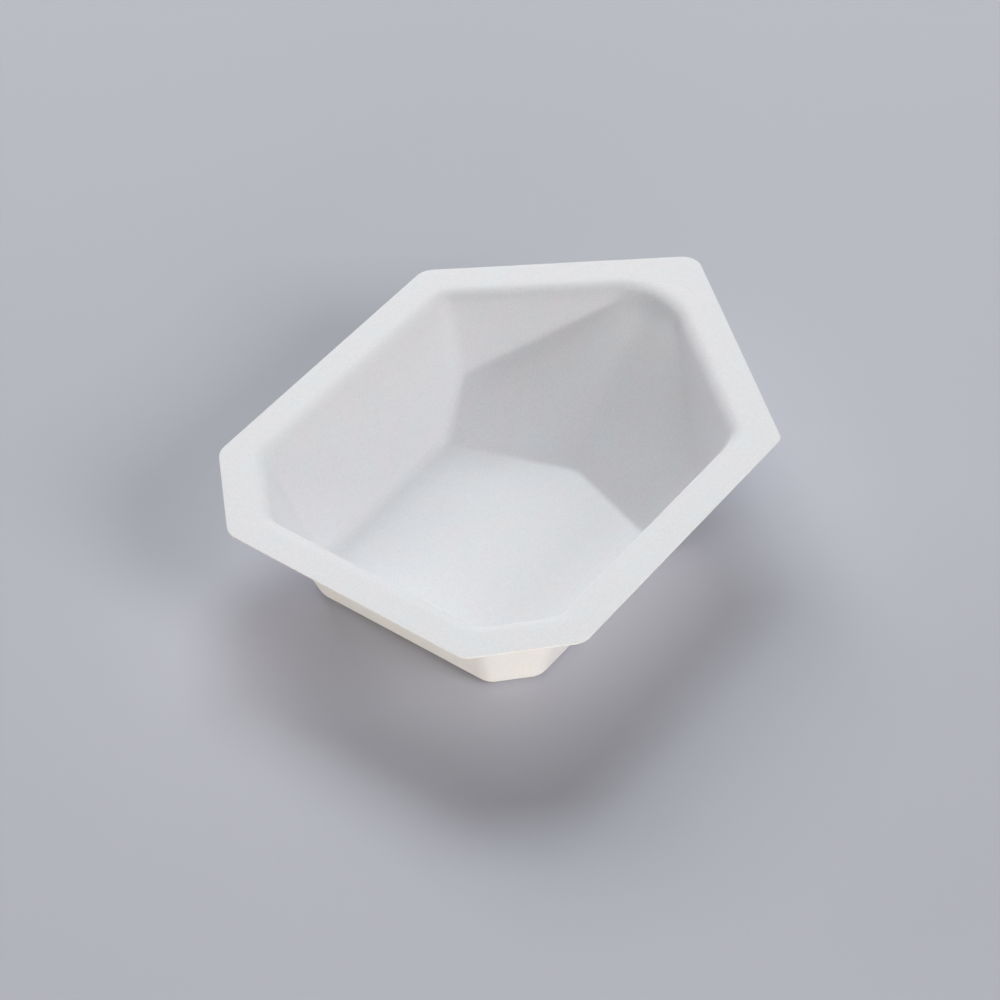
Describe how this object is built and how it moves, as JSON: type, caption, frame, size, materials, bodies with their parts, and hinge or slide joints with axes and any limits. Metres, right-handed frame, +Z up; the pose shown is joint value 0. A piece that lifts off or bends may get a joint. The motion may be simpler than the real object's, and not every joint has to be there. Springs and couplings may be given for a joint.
{
  "type": "weighing boat",
  "caption": "Shallow tray of thin white plastic with a flat rim, sloped walls and a ramp up to a pouring tip, for weighing and tipping out powders and liquids.",
  "frame": {"origin": "the middle of the boat's overall length and width, on the surface that it stands on", "axes": "+X along the boat towards its pouring tip, +Y across it, +Z up out of the open tray"},
  "size_m": [0.0826, 0.0634, 0.0195],
  "materials": {
    "sheet": "thermoformed polystyrene sheet, matt"
  },
  "bodies": {
    "root": {"weighing_boat": "sheet"}
  },
  "joints": []
}
